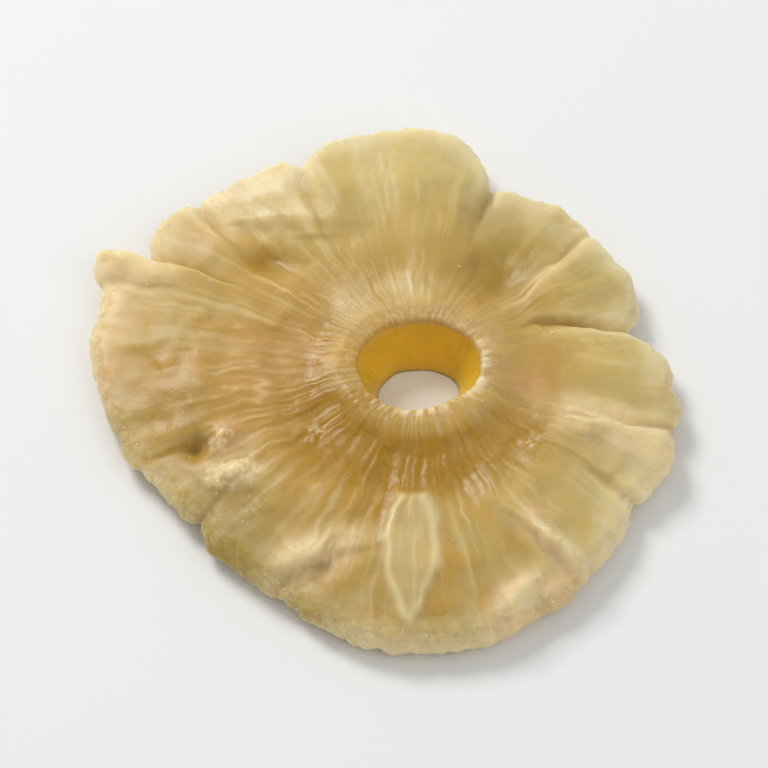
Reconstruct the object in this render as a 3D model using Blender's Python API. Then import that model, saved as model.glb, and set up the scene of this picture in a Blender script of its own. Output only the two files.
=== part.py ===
"""A dried, sugared pineapple ring lying flat, as one closed solid with its core hole right through.

Fruitlets fan out from a raised collar round the hole. Each is a small named row of sizes, and the
whole surface is worked out from those rows. Lengths are in millimetres until the mesh is made.
"""

import math
from typing import NamedTuple

import bpy
import numpy as np

METRES = 0.001  # one millimetre

# Core hole: half its width along X and Y at the top, how much narrower it is below, and its edge.
HOLE_HALF_X = 7.3
HOLE_HALF_Y = 6.2
HOLE_TAPER = 2.5
HOLE_EDGE = 0.7
HOLE_FLARE = 6.0  # how quickly the taper dies away outward, under the ring
HOLE_WAVES = ((2, 0.15, 40.0), (3, 0.08, 10.0), (7, 0.04, 75.0))  # count, height, turn in degrees

# Collar round the hole, and the sunken golden band outside it. Widths are measured from the hole.
COLLAR_HEIGHT = 7.6
COLLAR_WIDTH = 3.0
COLLAR_FALL = 0.3
COLLAR_SLOPE = 1.0
BAND_START = 2.4
BAND_END = 10.8
BAND_SLOPE = 4.0
BAND_DEPTH = 0.85
BAND_TURN = 262.0  # degrees, the side where the band is deepest
BAND_EVENNESS = 0.35  # 1 for the same depth all round

# Margin: how far the upper and lower faces round off, and its height off the table.
MARGIN_TOP_ROUND = 2.6
MARGIN_BOTTOM_ROUND = 2.0
MARGIN_FULLNESS = 2.4  # 2 for a margin as round as a circle, more for a fuller one
MARGIN_MIDDLE = 1.8
MARGIN_FALL = 2.3  # how much thinner the fruitlets get on their way out
MARGIN_FALL_WIDTH = 13.0
MARGIN_RUFFLES = ((17, 0.20, 5.0), (28, 0.16, 31.0), (41, 0.10, 12.0))
UNDERSIDE_CURL_WIDTH = 9.0

# Creases between fruitlets.
CREASE_HALF_WIDTH = 0.95
CREASE_FADE = 11.0
STEP_HALF_WIDTH = 0.9
UNDERSIDE_CREASE = 0.35
UNDERSIDE_CREASE_HALF_WIDTH = 1.4

# Grid: rows round one cross-section, and columns along one fruitlet.
TOP_ROWS = 18
TOP_ROUND_ROWS = 5
BOTTOM_ROUND_ROWS = 3
UNDERSIDE_ROWS = 5
WALL_ROWS = 3
COLUMN_SPACING = 1.62
LEAST_COLUMNS = 6
BULGE_ONSET = 4.0  # 1 for rows that follow the bulges evenly, more for only the outer rows
CREASE_CROWDING = 0.10  # 0 for columns spaced evenly, more for columns closer at the creases
HOLE_CROWDING = 1.1  # 1 for rows spaced evenly, more for rows closer at the hole


class Fruitlet(NamedTuple):
    """One fruitlet, from the crease at its start to the crease where the next one starts."""

    start: float  # degrees, where its first crease meets the margin
    reach: float  # distance of that crease's outer end from the hole's centre
    swing: float  # degrees the crease turns by on its way in to the hole
    bow: float  # degrees the crease bows out by, halfway in
    crease: float  # depth of the crease
    inner: float  # how far from the hole the crease begins
    bulge: float  # how far its margin stands out between its two creases
    fullness: float  # 2 for a rounded margin, 6 for a blunt one with steep ends
    lean: float  # above 0 its margin stands out most near its start
    top: float  # height of its upper face
    tilt: float  # how far its start side stands above its end side
    curl: float  # how far its margin lifts off the table


FRUITLETS = (
    Fruitlet(14.9, 25.6, 18.0, 1.0, 0.8, 4.0, 2.2, 3.6, 0.35, 7.0, -1.2, 0.9),
    Fruitlet(45.0, 29.2, 0.0, -2.0, 0.4, 6.0, 1.5, 2.2, 0.30, 6.2, -0.4, 1.0),
    Fruitlet(72.2, 28.7, 3.0, -2.5, 0.8, 12.0, 5.2, 3.4, 0.42, 7.3, 0.2, 1.0),
    Fruitlet(115.5, 33.7, 8.0, 2.5, 0.4, 12.0, 0.9, 8.0, 1.00, 6.8, 0.2, 1.9),
    Fruitlet(137.0, 36.6, 4.0, 5.0, 0.7, 18.0, 2.6, 4.0, 0.00, 7.1, 0.2, 1.8),
    Fruitlet(152.8, 35.4, -4.0, 1.5, 1.8, 24.0, 4.7, 5.0, 0.80, 7.0, 0.2, 1.4),
    Fruitlet(160.5, 40.7, -4.0, -1.0, 0.5, 24.0, 0.6, 2.2, 0.00, 6.8, 0.3, 0.8),
    Fruitlet(199.0, 35.6, -3.0, 2.5, 0.2, 14.0, 0.2, 2.0, 0.00, 6.6, -0.3, 0.8),
    Fruitlet(217.0, 32.3, 4.0, -2.5, 0.3, 18.0, 1.0, 2.2, 0.60, 6.9, -0.7, 0.5),
    Fruitlet(240.0, 33.4, 10.0, 2.0, 0.5, 20.0, 0.6, 2.0, 0.00, 6.4, -0.5, 0.4),
    Fruitlet(262.5, 36.4, 2.0, 0.0, 0.0, 12.0, 0.6, 2.0, 0.00, 6.7, 0.0, 0.4),
    Fruitlet(275.5, 36.6, -2.0, 0.0, 0.0, 12.0, 0.7, 2.0, 0.00, 6.6, 0.1, 0.4),
    Fruitlet(304.0, 33.6, -6.0, -2.5, 0.2, 13.0, 0.6, 2.0, 0.00, 6.8, 0.5, 0.6),
    Fruitlet(326.5, 30.4, -4.0, 2.0, 0.5, 13.0, 1.5, 2.6, 0.10, 6.9, -0.8, 0.7),
    Fruitlet(347.0, 30.8, -12.0, -1.0, 0.7, 8.0, 2.4, 5.0, -0.20, 6.6, 0.2, 0.8),
)


class Swelling(NamedTuple):
    """One local rise or, below zero, hollow of the upper face."""

    angle: float  # degrees, where its middle is
    distance: float  # from the hole's centre to its middle
    half_length: float
    half_width: float
    height: float
    turn: float  # degrees its length is turned from straight out, counterclockwise
    steep: float  # above 0 its left side, looking along its length, is the steep one


SWELLINGS = (
    Swelling(55.0, 17.8, 6.8, 4.8, -2.1, 15.0, 0.0),  # hollow beside the broad lobe
    Swelling(94.0, 27.0, 12.0, 5.5, 0.6, 90.0, 0.0),  # back of the broad lobe
    Swelling(129.0, 27.8, 7.5, 2.8, 1.3, 47.0, 0.5),  # fold along the raised margin
    Swelling(140.0, 23.8, 4.0, 2.2, -1.3, 37.0, 0.0),  # hollow inside that fold
    Swelling(146.5, 31.5, 5.0, 3.2, 0.8, 12.0, 0.0),  # thumb-like lobe
    Swelling(155.4, 39.4, 2.2, 2.2, 1.4, 0.0, 0.0),  # knob at the corner
    Swelling(201.5, 28.4, 1.8, 1.4, -1.6, 0.0, 0.0),  # pit
    Swelling(202.0, 25.3, 2.2, 1.4, 0.9, 30.0, 0.0),  # crumbly lumps round the pit
    Swelling(213.5, 26.4, 2.8, 1.6, 1.2, -34.0, 0.0),
    Swelling(244.4, 28.6, 4.8, 1.8, 1.2, -52.0, 0.80),  # beak over the crease
    Swelling(243.0, 31.4, 3.6, 1.4, -0.3, -46.0, 0.0),  # gap under the beak
    Swelling(303.0, 28.4, 5.2, 1.3, 1.6, 16.0, -0.6),  # long lip by the last crumbs
    Swelling(291.0, 32.8, 4.4, 1.5, 1.3, -58.0, 0.4),
    Swelling(342.0, 25.5, 6.5, 1.9, 0.9, 2.0, 0.65),  # ridge of the right side
)

# Seed pocket: an almond with raised sides, on the fruitlet that reaches farthest towards -Y.
ALMOND_ANGLE = 268.0
ALMOND_INNER = 17.6
ALMOND_OUTER = 34.4
ALMOND_HALF_WIDTH = 3.0
ALMOND_BLUNTNESS = 0.12  # share of the outline's wave that its inner end leaves out
ALMOND_END_FADE = 0.9
ALMOND_RISE = 0.35
ALMOND_LIP = 0.3
ALMOND_LIP_HALF_WIDTH = 0.9

FLESH_COLOUR = (0.62, 0.43, 0.13, 1.0)
FLESH_ROUGHNESS = 0.42


def smooth_step(low, high, value):
    """0 below low, 1 above high, and an even rise between them."""
    share = np.clip((value - low) / (high - low), 0.0, 1.0)
    return share * share * (3.0 - 2.0 * share)


def bell(distance, half_width):
    """1 at distance 0, dying away smoothly on both sides."""
    return np.exp(-((distance / half_width) ** 2))


def column_shares(fruitlet, following):
    """Where one fruitlet's columns stand, as shares of its length, closest together at its creases."""
    span = math.radians((following.start - fruitlet.start) % 360.0)
    arc = span * (fruitlet.reach + following.reach) / 2.0
    count = max(LEAST_COLUMNS, round(arc / COLUMN_SPACING))
    even = np.arange(count) / count
    return even - CREASE_CROWDING * np.sin(2.0 * np.pi * even)


def lay_out_columns():
    """One row per column: the fruitlet's place in FRUITLETS and the share of the way along it."""
    columns = []
    for index, fruitlet in enumerate(FRUITLETS):
        following = FRUITLETS[(index + 1) % len(FRUITLETS)]
        for share in column_shares(fruitlet, following):
            columns.append((index, share))
    return np.array(columns)


class Columns:
    """The sizes of the fruitlets at every column, each as one array."""

    def __init__(self):
        laid_out = lay_out_columns()
        own = laid_out[:, 0].astype(int)
        self.share = laid_out[:, 1]
        self.own = np.array(FRUITLETS)[own]
        self.next = np.array(FRUITLETS)[(own + 1) % len(FRUITLETS)]
        span = (self.next[:, 0] - self.own[:, 0]) % 360.0
        self.span = np.radians(span)
        self.margin_angle = self.own[:, 0] + self.share * span
        before = np.array(FRUITLETS)[own - 1]
        self.before_start = self.end_height(before)
        self.at_start = self.start_height(self.own)
        self.at_end = self.end_height(self.own)
        self.after_end = self.start_height(self.next)

    @staticmethod
    def start_height(rows):
        return rows[:, Fruitlet._fields.index("top")] + rows[:, Fruitlet._fields.index("tilt")] / 2.0

    @staticmethod
    def end_height(rows):
        return rows[:, Fruitlet._fields.index("top")] - rows[:, Fruitlet._fields.index("tilt")] / 2.0

    def between(self, field):
        """A crease's size, carried evenly from one crease to the next."""
        place = Fruitlet._fields.index(field)
        return self.own[:, place] * (1.0 - self.share) + self.next[:, place] * self.share

    def of(self, field):
        return self.own[:, Fruitlet._fields.index(field)]

    def of_next(self, field):
        return self.next[:, Fruitlet._fields.index(field)]


def waves(angle, rows):
    """Sum of (count, height, turn in degrees) waves round the ring."""
    return sum(height * np.cos(count * (angle - math.radians(turn))) for count, height, turn in rows)


def margin_reach(columns):
    """Distance of the margin from the hole's centre."""
    across = 2.0 * columns.share - 1.0
    swell = 1.0 - np.abs(across) ** columns.of("fullness")
    reach = columns.between("reach") + columns.of("bulge") * swell * (1.0 - columns.of("lean") * across)
    return reach + waves(np.radians(columns.margin_angle), MARGIN_RUFFLES)


def hole_reach(angle):
    """Distance of the hole's upper edge from its centre."""
    x_share = np.cos(angle) / HOLE_HALF_X
    y_share = np.sin(angle) / HOLE_HALF_Y
    return 1.0 / np.hypot(x_share, y_share) + waves(angle, HOLE_WAVES)


def crease_gap(columns, distance):
    """Distance along the arc to the nearer crease, and whether that crease is the fruitlet's first."""
    to_first = columns.share * columns.span * distance
    to_last = (1.0 - columns.share) * columns.span * distance
    return np.minimum(to_first, to_last), to_first < to_last


def crease_presence(columns, past_hole, nearer_first):
    """0 where the nearer crease hasn't begun yet, 1 where it is fully there."""
    inner = np.where(nearer_first, columns.of("inner"), columns.of_next("inner"))
    return smooth_step(inner, inner + CREASE_FADE, past_hole)


def fruitlet_height(columns, distance, past_hole):
    """Height of the fruitlets' upper faces. Two that differ at their crease meet in a blended step."""
    own = columns.of("top") + columns.of("tilt") * (0.5 - columns.share)
    gap, nearer_first = crease_gap(columns, distance)
    beside = np.where(nearer_first, columns.before_start, columns.after_end)
    own_side = np.where(nearer_first, columns.at_start, columns.at_end)
    presence = crease_presence(columns, past_hole, nearer_first)
    half_width = STEP_HALF_WIDTH + (1.0 - presence) * distance * columns.span / 4.0
    return own + (beside - own_side) / 2.0 * (1.0 - smooth_step(0.0, half_width, gap))


def crease_depth(columns, distance, past_hole):
    gap, nearer_first = crease_gap(columns, distance)
    depth = np.where(nearer_first, columns.of("crease"), columns.of_next("crease"))
    return depth * bell(gap, CREASE_HALF_WIDTH) * crease_presence(columns, past_hole, nearer_first)


def band_depth(angle, past_hole):
    """Depth of the golden band, deepest on one side."""
    away = 0.5 + 0.5 * np.cos(angle - math.radians(BAND_TURN))
    depth = BAND_DEPTH * (BAND_EVENNESS + (1.0 - BAND_EVENNESS) * away)
    rise = smooth_step(BAND_START, BAND_START + BAND_SLOPE, past_hole)
    return depth * rise * (1.0 - smooth_step(BAND_END - BAND_SLOPE, BAND_END + BAND_SLOPE, past_hole))


def swelling_height(x, y):
    """Sum of the local rises and hollows."""
    total = np.zeros(np.shape(x))
    for swelling in SWELLINGS:
        angle = math.radians(swelling.angle)
        out = np.array((math.cos(angle), math.sin(angle))) * swelling.distance
        along = angle + math.radians(swelling.turn)
        off_x = x - out[0]
        off_y = y - out[1]
        lengthwise = (off_x * math.cos(along) + off_y * math.sin(along)) / swelling.half_length
        crosswise = (off_y * math.cos(along) - off_x * math.sin(along)) / swelling.half_width
        crosswise = crosswise / (1.0 - swelling.steep * np.sign(crosswise))
        total = total + swelling.height * np.exp(-(lengthwise**2) - crosswise**2)
    return total


def almond_shape(angle, distance):
    """1 along the seed pocket and 0 beyond its ends, and the distance from its outline, negative inside."""
    share = np.clip((distance - ALMOND_INNER) / (ALMOND_OUTER - ALMOND_INNER), 0.0, 1.0)
    wave = ALMOND_BLUNTNESS + (1.0 - ALMOND_BLUNTNESS) * share
    half_width = ALMOND_HALF_WIDTH * np.sin(np.pi * wave)
    turn = (angle - math.radians(ALMOND_ANGLE) + np.pi) % (2.0 * np.pi) - np.pi
    begun = smooth_step(-ALMOND_END_FADE, ALMOND_END_FADE, distance - ALMOND_INNER)
    ended = smooth_step(-ALMOND_END_FADE, ALMOND_END_FADE, distance - ALMOND_OUTER)
    return begun * (1.0 - ended), np.abs(turn * distance) - half_width


def almond_height(angle, distance):
    """The seed pocket stands a little above the fruitlet, and its lip a little above the pocket."""
    presence, outside = almond_shape(angle, distance)
    inside = 1.0 - smooth_step(-ALMOND_LIP_HALF_WIDTH, ALMOND_LIP_HALF_WIDTH, outside)
    return presence * (ALMOND_RISE * inside + ALMOND_LIP * bell(outside, ALMOND_LIP_HALF_WIDTH))


def top_height(columns, angle, distance, past_hole, to_margin):
    """Height of the upper face before its margin rounds off."""
    brink = smooth_step(COLLAR_WIDTH - COLLAR_SLOPE, COLLAR_WIDTH + COLLAR_SLOPE, past_hole)
    collar = COLLAR_HEIGHT - COLLAR_FALL * brink
    outer = fruitlet_height(columns, distance, past_hole)
    share = smooth_step(COLLAR_WIDTH, BAND_END, past_hole)
    height = collar * (1.0 - share) + outer * share
    height = height - band_depth(angle, past_hole) - crease_depth(columns, distance, past_hole)
    height = height - MARGIN_FALL * (1.0 - smooth_step(0.0, MARGIN_FALL_WIDTH, to_margin))
    height = height + swelling_height(distance * np.cos(angle), distance * np.sin(angle))
    return height + almond_height(angle, distance)


def underside_height(columns, distance, to_margin):
    """The underside is flat near the hole, and curls up towards the margin with shallow creases."""
    curl_share = 1.0 - smooth_step(0.0, UNDERSIDE_CURL_WIDTH, to_margin)
    gap, _ = crease_gap(columns, distance)
    groove = UNDERSIDE_CREASE * bell(gap, UNDERSIDE_CREASE_HALF_WIDTH)
    return curl_share * (columns.between("curl") + groove)


def row_angle(columns, outward):
    """Angle of every column at one row. Each crease swings round and bows as it runs in to the hole."""
    bow = columns.between("bow") * np.sin(np.pi * outward)
    return np.radians(columns.margin_angle + columns.between("swing") * (1.0 - outward) + bow)


def face_point(columns, outward):
    """Angle, distance from the hole's centre, distance past its edge and distance to the margin."""
    angle = row_angle(columns, outward)
    inner = hole_reach(angle)
    even = columns.between("reach")
    outer = margin_reach(columns)
    distance = inner + (even - inner) * outward + (outer - even) * outward**BULGE_ONSET
    return angle, distance, distance - inner, outer - distance


def top_row(columns, outward):
    angle, distance, past_hole, to_margin = face_point(columns, outward)
    full = top_height(columns, angle, distance, past_hole, to_margin)
    edge = np.clip(1.0 - to_margin / MARGIN_TOP_ROUND, 0.0, 1.0)
    middle = MARGIN_MIDDLE + columns.between("curl")
    height = middle + (full - middle) * np.sqrt(1.0 - edge**MARGIN_FULLNESS)
    rim = np.clip(1.0 - past_hole / HOLE_EDGE, 0.0, 1.0)
    height = height - HOLE_EDGE * (1.0 - np.sqrt(1.0 - rim**2))
    return angle, distance, height


def underside_row(columns, outward):
    angle, distance, past_hole, to_margin = face_point(columns, outward)
    distance = distance - HOLE_TAPER * (1.0 - outward) ** HOLE_FLARE
    full = underside_height(columns, distance, to_margin)
    edge = np.clip(1.0 - to_margin / MARGIN_BOTTOM_ROUND, 0.0, 1.0)
    middle = MARGIN_MIDDLE + columns.between("curl")
    return angle, distance, middle + (full - middle) * np.sqrt(1.0 - edge**MARGIN_FULLNESS)


def wall_row(columns, drop):
    """One row of the hole's wall. drop goes from 0 at the upper edge to 1 at the underside."""
    angle = row_angle(columns, 0.0)
    upper_edge = COLLAR_HEIGHT - HOLE_EDGE
    distance = hole_reach(angle) - HOLE_TAPER * smooth_step(0.0, 1.0, drop)
    return angle, distance, np.full(len(angle), upper_edge * (1.0 - drop))


def rounding_start(columns, width):
    """How far out, from 0 at the hole to 1 at the margin, a margin rounding of this width starts."""
    even = columns.between("reach")
    length = even - hole_reach(np.radians(columns.margin_angle))
    length = length + BULGE_ONSET * (margin_reach(columns) - even)
    return 1.0 - width / length


def cross_section_rows(columns):
    """Every row of the closed grid, from the hole's upper edge out, round the margin and back."""
    rows = []
    flat_end = rounding_start(columns, MARGIN_TOP_ROUND)
    for share in np.linspace(0.0, 1.0, TOP_ROWS):
        rows.append(top_row(columns, flat_end * share**HOLE_CROWDING))
    for step in range(1, TOP_ROUND_ROWS + 1):
        share = math.sin(0.5 * math.pi * step / TOP_ROUND_ROWS)
        rows.append(top_row(columns, flat_end + (1.0 - flat_end) * share))
    flat_end = rounding_start(columns, MARGIN_BOTTOM_ROUND)
    for step in range(BOTTOM_ROUND_ROWS - 1, 0, -1):
        share = math.sin(0.5 * math.pi * step / BOTTOM_ROUND_ROWS)
        rows.append(underside_row(columns, flat_end + (1.0 - flat_end) * share))
    for share in np.linspace(1.0, 0.0, UNDERSIDE_ROWS):
        rows.append(underside_row(columns, flat_end * share))
    for step in range(WALL_ROWS - 1, 0, -1):
        rows.append(wall_row(columns, step / WALL_ROWS))
    return rows


def grid_points():
    """Points of the closed grid as rows x columns x 3, in metres, on the bounding box's bottom centre."""
    columns = Columns()
    points = []
    for angle, distance, height in cross_section_rows(columns):
        points.append(np.stack((distance * np.cos(angle), distance * np.sin(angle), height), axis=-1))
    points = np.array(points) * METRES
    low = points.min(axis=(0, 1))
    high = points.max(axis=(0, 1))
    return points - np.array(((low[0] + high[0]) / 2.0, (low[1] + high[1]) / 2.0, low[2]))


def grid_faces(row_count, column_count):
    """Quads between neighbouring rows and columns. Both directions close on themselves."""
    faces = []
    for row in range(row_count):
        following = (row + 1) % row_count
        for column in range(column_count):
            beside = (column + 1) % column_count
            faces.append(
                (
                    row * column_count + column,
                    following * column_count + column,
                    following * column_count + beside,
                    row * column_count + beside,
                )
            )
    return faces


def flesh_material():
    material = bpy.data.materials.new("sugared_flesh")
    material.use_nodes = True
    shader = material.node_tree.nodes["Principled BSDF"]
    shader.inputs["Base Color"].default_value = FLESH_COLOUR
    shader.inputs["Roughness"].default_value = FLESH_ROUGHNESS
    shader.inputs["Metallic"].default_value = 0.0
    return material


def build_ring():
    points = grid_points()
    row_count, column_count = points.shape[:2]
    mesh = bpy.data.meshes.new("pineapple_ring")
    mesh.from_pydata(points.reshape(-1, 3).tolist(), [], grid_faces(row_count, column_count))
    mesh.shade_smooth()
    mesh.materials.append(flesh_material())
    mesh.update()
    ring = bpy.data.objects.new("pineapple_ring", mesh)
    bpy.context.scene.collection.objects.link(ring)


def clear_scene():
    for startup_object in list(bpy.data.objects):
        bpy.data.objects.remove(startup_object, do_unlink=True)


clear_scene()
build_ring()
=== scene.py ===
import math
from typing import NamedTuple

import bpy
import numpy as np
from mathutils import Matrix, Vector, noise


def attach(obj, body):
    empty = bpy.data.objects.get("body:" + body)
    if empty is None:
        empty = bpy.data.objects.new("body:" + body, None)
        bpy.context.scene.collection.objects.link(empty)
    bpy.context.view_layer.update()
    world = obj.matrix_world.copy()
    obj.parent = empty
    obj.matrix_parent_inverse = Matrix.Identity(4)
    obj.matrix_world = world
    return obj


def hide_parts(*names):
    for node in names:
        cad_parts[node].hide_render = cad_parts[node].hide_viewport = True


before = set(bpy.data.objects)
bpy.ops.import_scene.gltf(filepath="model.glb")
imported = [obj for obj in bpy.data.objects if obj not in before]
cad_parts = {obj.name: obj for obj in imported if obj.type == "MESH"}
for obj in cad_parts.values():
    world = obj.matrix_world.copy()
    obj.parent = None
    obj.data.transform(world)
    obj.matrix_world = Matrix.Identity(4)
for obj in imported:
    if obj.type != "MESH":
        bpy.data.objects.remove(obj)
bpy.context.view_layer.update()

# The ring's flesh on a fine grid, worked out from the same sizes as the solid, with sugar grains on it.
# Lengths are in millimetres, from the hole's centre, until a mesh is made.

METRES = 0.001  # one millimetre
SEED = 11

# The hole's centre in the row frame.
HOLE_X = 4.157
HOLE_Y = 0.134
HOLE_CENTRE = np.array((HOLE_X, HOLE_Y, 0.0))

# Core hole: half its width along X and Y at the top, how much narrower it is below, and its edge.
HOLE_HALF_X = 7.3
HOLE_HALF_Y = 6.2
HOLE_TAPER = 2.5
HOLE_EDGE = 0.7
HOLE_FLARE = 6.0  # how quickly the taper dies away outward, under the ring
HOLE_WAVES = ((2, 0.15, 40.0), (3, 0.08, 10.0), (7, 0.04, 75.0))  # count, height, turn in degrees

# Collar round the hole, and the sunken golden band outside it. Widths are measured from the hole.
COLLAR_HEIGHT = 7.6
COLLAR_WIDTH = 3.0
COLLAR_FALL = 0.3
COLLAR_SLOPE = 1.0
BAND_START = 2.4
BAND_END = 10.8
BAND_SLOPE = 4.0
BAND_DEPTH = 0.85
BAND_TURN = 262.0  # degrees, the side where the band is deepest
BAND_EVENNESS = 0.35  # 1 for the same depth all round

# Margin: how far the upper and lower faces round off, and its height off the table.
MARGIN_TOP_ROUND = 2.6
MARGIN_BOTTOM_ROUND = 2.0
MARGIN_FULLNESS = 2.4  # 2 for a margin as round as a circle, more for a fuller one
MARGIN_MIDDLE = 1.8
MARGIN_FALL = 2.3  # how much thinner the fruitlets get on their way out
MARGIN_FALL_WIDTH = 13.0
MARGIN_RUFFLES = ((17, 0.20, 5.0), (28, 0.16, 31.0), (41, 0.10, 12.0))
UNDERSIDE_CURL_WIDTH = 9.0

# Creases between fruitlets.
CREASE_HALF_WIDTH = 0.8
CREASE_FADE = 11.0
STEP_HALF_WIDTH = 0.45
UNDERSIDE_CREASE = 0.35
UNDERSIDE_CREASE_HALF_WIDTH = 1.4
UNDERSIDE_GROOVE = 0.3  # how deep the creases are in the flat part of the underside

# Grid: rows round one cross-section, and columns along one fruitlet.
TOP_ROWS = 118
TOP_ROUND_ROWS = 18
BOTTOM_ROUND_ROWS = 9
UNDERSIDE_ROWS = 30
WALL_ROWS = 16
COLUMN_SPACING = 0.425
LEAST_COLUMNS = 10
BULGE_ONSET = 4.0  # 1 for rows that follow the bulges evenly, more for only the outer rows
CREASE_CROWDING = 0.06  # 0 for columns spaced evenly, more for columns closer at the creases


class Fruitlet(NamedTuple):
    """One fruitlet, from the crease at its start to the crease where the next one starts."""

    start: float  # degrees, where its first crease meets the margin
    reach: float  # distance of that crease's outer end from the hole's centre
    swing: float  # degrees the crease turns by on its way in to the hole
    bow: float  # degrees the crease bows out by, halfway in
    crease: float  # depth of the crease
    inner: float  # how far from the hole the crease begins
    bulge: float  # how far its margin stands out between its two creases
    fullness: float  # 2 for a rounded margin, 6 for a blunt one with steep ends
    lean: float  # above 0 its margin stands out most near its start
    top: float  # height of its upper face
    tilt: float  # how far its start side stands above its end side
    curl: float  # how far its margin lifts off the table


FRUITLETS = (
    Fruitlet(14.9, 25.6, 18.0, 1.0, 0.8, 4.0, 2.2, 3.6, 0.35, 7.0, -1.2, 0.9),
    Fruitlet(45.0, 29.2, 0.0, -2.0, 0.4, 6.0, 1.5, 2.2, 0.30, 6.2, -0.4, 1.0),
    Fruitlet(72.2, 28.7, 3.0, -2.5, 0.8, 12.0, 5.2, 3.4, 0.42, 7.3, 0.2, 1.0),
    Fruitlet(115.5, 33.7, 8.0, 2.5, 0.4, 12.0, 0.9, 8.0, 1.00, 6.8, 0.2, 1.9),
    Fruitlet(137.0, 36.6, 4.0, 5.0, 0.7, 18.0, 2.6, 4.0, 0.00, 7.1, 0.2, 1.8),
    Fruitlet(152.8, 35.4, -4.0, 1.5, 1.8, 24.0, 4.7, 5.0, 0.80, 7.0, 0.2, 1.4),
    Fruitlet(160.5, 40.7, -4.0, -1.0, 0.5, 24.0, 0.6, 2.2, 0.00, 6.8, 0.3, 0.8),
    Fruitlet(199.0, 35.6, -3.0, 2.5, 0.2, 14.0, 0.2, 2.0, 0.00, 6.6, -0.3, 0.8),
    Fruitlet(217.0, 32.3, 4.0, -2.5, 0.3, 18.0, 1.0, 2.2, 0.60, 6.9, -0.7, 0.5),
    Fruitlet(240.0, 33.4, 10.0, 2.0, 0.5, 20.0, 0.6, 2.0, 0.00, 6.4, -0.5, 0.4),
    Fruitlet(262.5, 36.4, 2.0, 0.0, 0.0, 12.0, 0.6, 2.0, 0.00, 6.7, 0.0, 0.4),
    Fruitlet(275.5, 36.6, -2.0, 0.0, 0.0, 12.0, 0.7, 2.0, 0.00, 6.6, 0.1, 0.4),
    Fruitlet(304.0, 33.6, -6.0, -2.5, 0.2, 13.0, 0.6, 2.0, 0.00, 6.8, 0.5, 0.6),
    Fruitlet(326.5, 30.4, -4.0, 2.0, 0.5, 13.0, 1.5, 2.6, 0.10, 6.9, -0.8, 0.7),
    Fruitlet(347.0, 30.8, -12.0, -1.0, 0.7, 8.0, 2.4, 5.0, -0.20, 6.6, 0.2, 0.8),
)


class Swelling(NamedTuple):
    """One local rise or, below zero, hollow of the upper face."""

    angle: float  # degrees, where its middle is
    distance: float  # from the hole's centre to its middle
    half_length: float
    half_width: float
    height: float
    turn: float  # degrees its length is turned from straight out, counterclockwise
    steep: float  # above 0 its left side, looking along its length, is the steep one


SWELLINGS = (
    Swelling(55.0, 17.8, 6.8, 4.8, -2.1, 15.0, 0.0),  # hollow beside the broad lobe
    Swelling(94.0, 27.0, 12.0, 5.5, 0.6, 90.0, 0.0),  # back of the broad lobe
    Swelling(129.0, 27.8, 7.5, 2.8, 1.3, 47.0, 0.5),  # fold along the raised margin
    Swelling(140.0, 23.8, 4.0, 2.2, -1.3, 37.0, 0.0),  # hollow inside that fold
    Swelling(146.5, 31.5, 5.0, 3.2, 0.8, 12.0, 0.0),  # thumb-like lobe
    Swelling(155.4, 39.4, 2.2, 2.2, 1.4, 0.0, 0.0),  # knob at the corner
    Swelling(201.5, 28.4, 1.8, 1.4, -1.6, 0.0, 0.0),  # pit
    Swelling(202.0, 25.3, 2.2, 1.4, 0.9, 30.0, 0.0),  # crumbly lumps round the pit
    Swelling(213.5, 26.4, 2.8, 1.6, 1.2, -34.0, 0.0),
    Swelling(244.4, 28.6, 4.8, 1.8, 1.2, -52.0, 0.80),  # beak over the crease
    Swelling(243.0, 31.4, 3.6, 1.4, -0.3, -46.0, 0.0),  # gap under the beak
    Swelling(303.0, 28.4, 5.2, 1.3, 1.6, 16.0, -0.6),  # long lip by the last crumbs
    Swelling(291.0, 32.8, 4.4, 1.5, 1.3, -58.0, 0.4),
    Swelling(342.0, 25.5, 6.5, 1.9, 0.9, 2.0, 0.65),  # ridge of the right side
)

# Seed pocket: an almond with raised sides, on the fruitlet that reaches farthest towards -Y.
ALMOND_ANGLE = 268.0
ALMOND_INNER = 17.6
ALMOND_OUTER = 34.4
ALMOND_HALF_WIDTH = 3.0
ALMOND_BLUNTNESS = 0.12  # share of the outline's wave that its inner end leaves out
ALMOND_END_FADE = 0.9
ALMOND_RISE = 0.35
ALMOND_LIP = 0.3
ALMOND_LIP_HALF_WIDTH = 0.55


class Patch(NamedTuple):
    """A spot of the upper face where some look or texture shows. It is placed as a swelling is."""

    angle: float
    distance: float
    half_length: float
    half_width: float
    amount: float  # how strongly it shows at its middle
    turn: float = 0.0


# Torn, crumbly spots.
CRUMBS = (
    Patch(213.5, 26.4, 3.4, 1.7, 1.0, -34.0),
    Patch(203.0, 25.6, 2.6, 1.8, 0.7, 30.0),
    Patch(222.0, 27.4, 1.6, 2.0, 0.35),
    Patch(291.0, 33.0, 4.0, 1.4, 0.7, -58.0),
    Patch(296.5, 32.4, 2.4, 1.4, 0.6),
    Patch(303.5, 28.6, 4.2, 1.1, 0.55, 16.0),
    Patch(156.0, 39.0, 3.0, 2.6, 0.4),
    Patch(125.0, 33.5, 7.0, 2.0, 0.4, 68.0),
    Patch(216.0, 15.0, 2.4, 2.0, 0.4),
    Patch(322.0, 16.8, 2.0, 3.0, 0.4),
    Patch(240.5, 28.2, 2.6, 1.4, 0.4, -50.0),
)

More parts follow.
